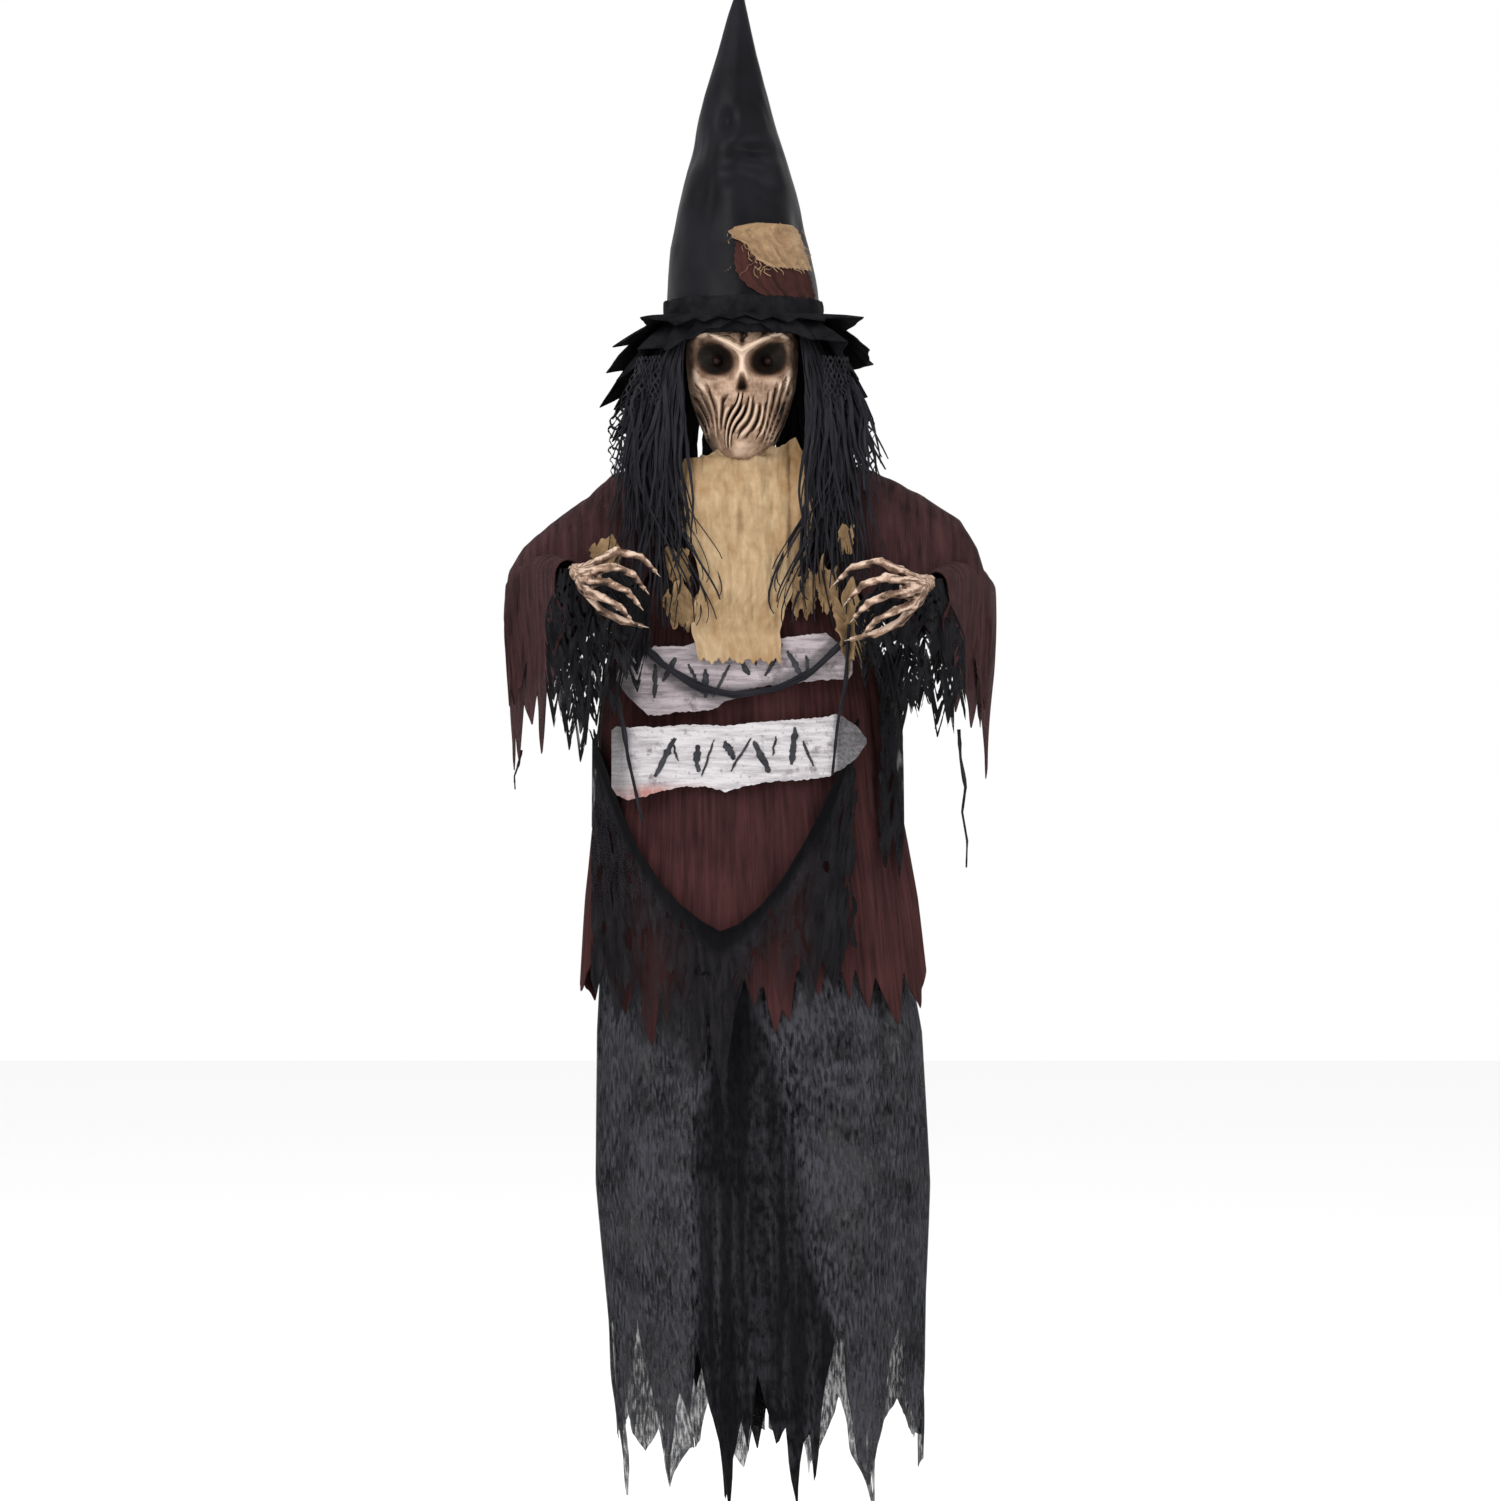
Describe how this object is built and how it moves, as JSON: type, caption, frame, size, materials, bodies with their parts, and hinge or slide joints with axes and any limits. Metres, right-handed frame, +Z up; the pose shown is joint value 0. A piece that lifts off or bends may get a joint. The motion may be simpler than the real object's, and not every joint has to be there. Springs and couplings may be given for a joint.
{
  "type": "animated hanging witch figure",
  "caption": "Life-size hanging witch prop with a pointed hat, bony mask and hands, layered torn cloth and two blank arrow boards; its head turns and its arms are posable.",
  "frame": {"origin": "centre of the hanging eye above the hat's tip", "axes": "+Z up along the hanging rod, the figure faces -Y, +X to the viewer's right"},
  "size_m": [0.5843, 0.422, 1.852],
  "materials": {
    "steel": "satin",
    "zinc": "satin",
    "brass": "satin",
    "black_paint": "satin",
    "housing": "fine texture",
    "gear_plastic": "smooth",
    "gearbox_plastic": "smooth",
    "board_green": "satin",
    "speaker_black": "paper cone",
    "cell_jacket": "gloss",
    "contact_metal": "bright",
    "button_red": "gloss",
    "eye_red": "clear red lens",
    "bone_latex": "dry, stained",
    "limb_plastic": "matt",
    "hat_satin": "satin weave",
    "hat_felt": "matt felt",
    "burlap": "coarse weave",
    "maroon_cloth": "matt weave",
    "black_gauze": "open gauze",
    "grey_gauze": "sheer gauze",
    "black_cloth": "matt weave",
    "cream_cloth": "coarse gauze",
    "weathered_board": "weathered foam board"
  },
  "bodies": {
    "frame": {"hanging_rod": "steel", "rod_nut": "zinc", "neck_bush": "brass", "chest_front_shell": "housing", "chest_back_shell": "housing", "shell_screw_left": "zinc", "shell_screw_right": "zinc", "chest_plate": "zinc", "gearbox_case": "gearbox_plastic", "motor_can": "steel", "speaker": "speaker_black", "circuit_board": "board_green", "sound_sensor": "speaker_black", "battery_tray": "housing", "battery_cell_1": "cell_jacket", "battery_cell_2": "cell_jacket", "battery_cell_3": "cell_jacket", "contact_strip": "contact_metal", "shoulder_tube": "steel", "waist_hoop": "black_paint", "hoop_stay_left": "black_paint", "hoop_stay_right": "black_paint", "robe_body": "maroon_cloth", "skirt_gauze": "grey_gauze", "inner_panel": "black_cloth", "bib": "cream_cloth", "sign_upper": "weathered_board", "sign_lower": "weathered_board", "gauze_swag": "black_gauze", "hair_fall_left": "black_gauze", "hair_fall_right": "black_gauze"},
    "pinion": {"drive_pinion": "gear_plastic"},
    "head": {"face_mask": "bone_latex", "skull_back": "bone_latex", "neck_gear": "gear_plastic", "eye_light_left": "eye_red", "eye_light_right": "eye_red", "hat_crown": "hat_satin", "hat_band": "hat_felt", "hat_brim": "hat_felt", "patch_tan": "burlap", "patch_maroon": "maroon_cloth", "hair_curtain": "black_gauze", "tip_grommet": "black_cloth"},
    "left_arm": {"left_upper_arm": "limb_plastic", "left_elbow_pin": "zinc", "left_sleeve": "maroon_cloth"},
    "left_lower_arm": {"left_forearm": "limb_plastic", "left_hand": "bone_latex", "left_cuff_gauze": "black_gauze"},
    "right_arm": {"right_upper_arm": "limb_plastic", "right_elbow_pin": "zinc", "right_sleeve": "maroon_cloth"},
    "right_lower_arm": {"right_forearm": "limb_plastic", "right_hand": "bone_latex", "right_cuff_gauze": "black_gauze"},
    "door": {"battery_door": "housing", "door_screw": "zinc"},
    "button": {"test_button": "button_red"},
    "switch": {"mode_switch": "housing"}
  },
  "joints": [
    {"name": "head_turn", "type": "hinge", "parent": "frame", "child": "head", "pos_m": [0, 0, -0.6], "axis": [0, 0, 1], "range_deg": [-28, 28]},
    {"name": "pinion_spin", "type": "hinge", "parent": "frame", "child": "pinion", "pos_m": [0, 0.036, -0.605], "axis": [0, 0, 1], "range_deg": [-90, 90]},
    {"name": "left_shoulder", "type": "hinge", "parent": "frame", "child": "left_arm", "pos_m": [0, 0, -0.658], "axis": [-1, 0, 0], "range_deg": [-5, 40]},
    {"name": "right_shoulder", "type": "hinge", "parent": "frame", "child": "right_arm", "pos_m": [0, 0, -0.658], "axis": [-1, 0, 0], "range_deg": [-5, 40]},
    {"name": "left_elbow", "type": "hinge", "parent": "left_arm", "child": "left_lower_arm", "pos_m": [-0.272, 0, -0.74], "axis": [-0.4941, -0.1284, 0.8599], "range_deg": [-25, 15]},
    {"name": "right_elbow", "type": "hinge", "parent": "right_arm", "child": "right_lower_arm", "pos_m": [0.285, 0, -0.748], "axis": [-0.4965, 0.126, -0.8589], "range_deg": [-25, 15]},
    {"name": "battery_door_hinge", "type": "hinge", "parent": "frame", "child": "door", "pos_m": [0, 0.0684, -0.7747], "axis": [-1, 0, 0], "range_deg": [0, 95]},
    {"name": "test_button_press", "type": "slide", "parent": "frame", "child": "button", "axis": [0, -1, 0], "range_m": [0, 0.002], "stiffness_N_per_m": 400, "springref_m": -0.001},
    {"name": "mode_switch_slide", "type": "slide", "parent": "frame", "child": "switch", "axis": [0, 0, 1], "range_m": [0, 0.004]}
  ],
  "couplings": [
    {"joint": "pinion_spin", "follows": "head_turn", "ratio": -3}
  ]
}
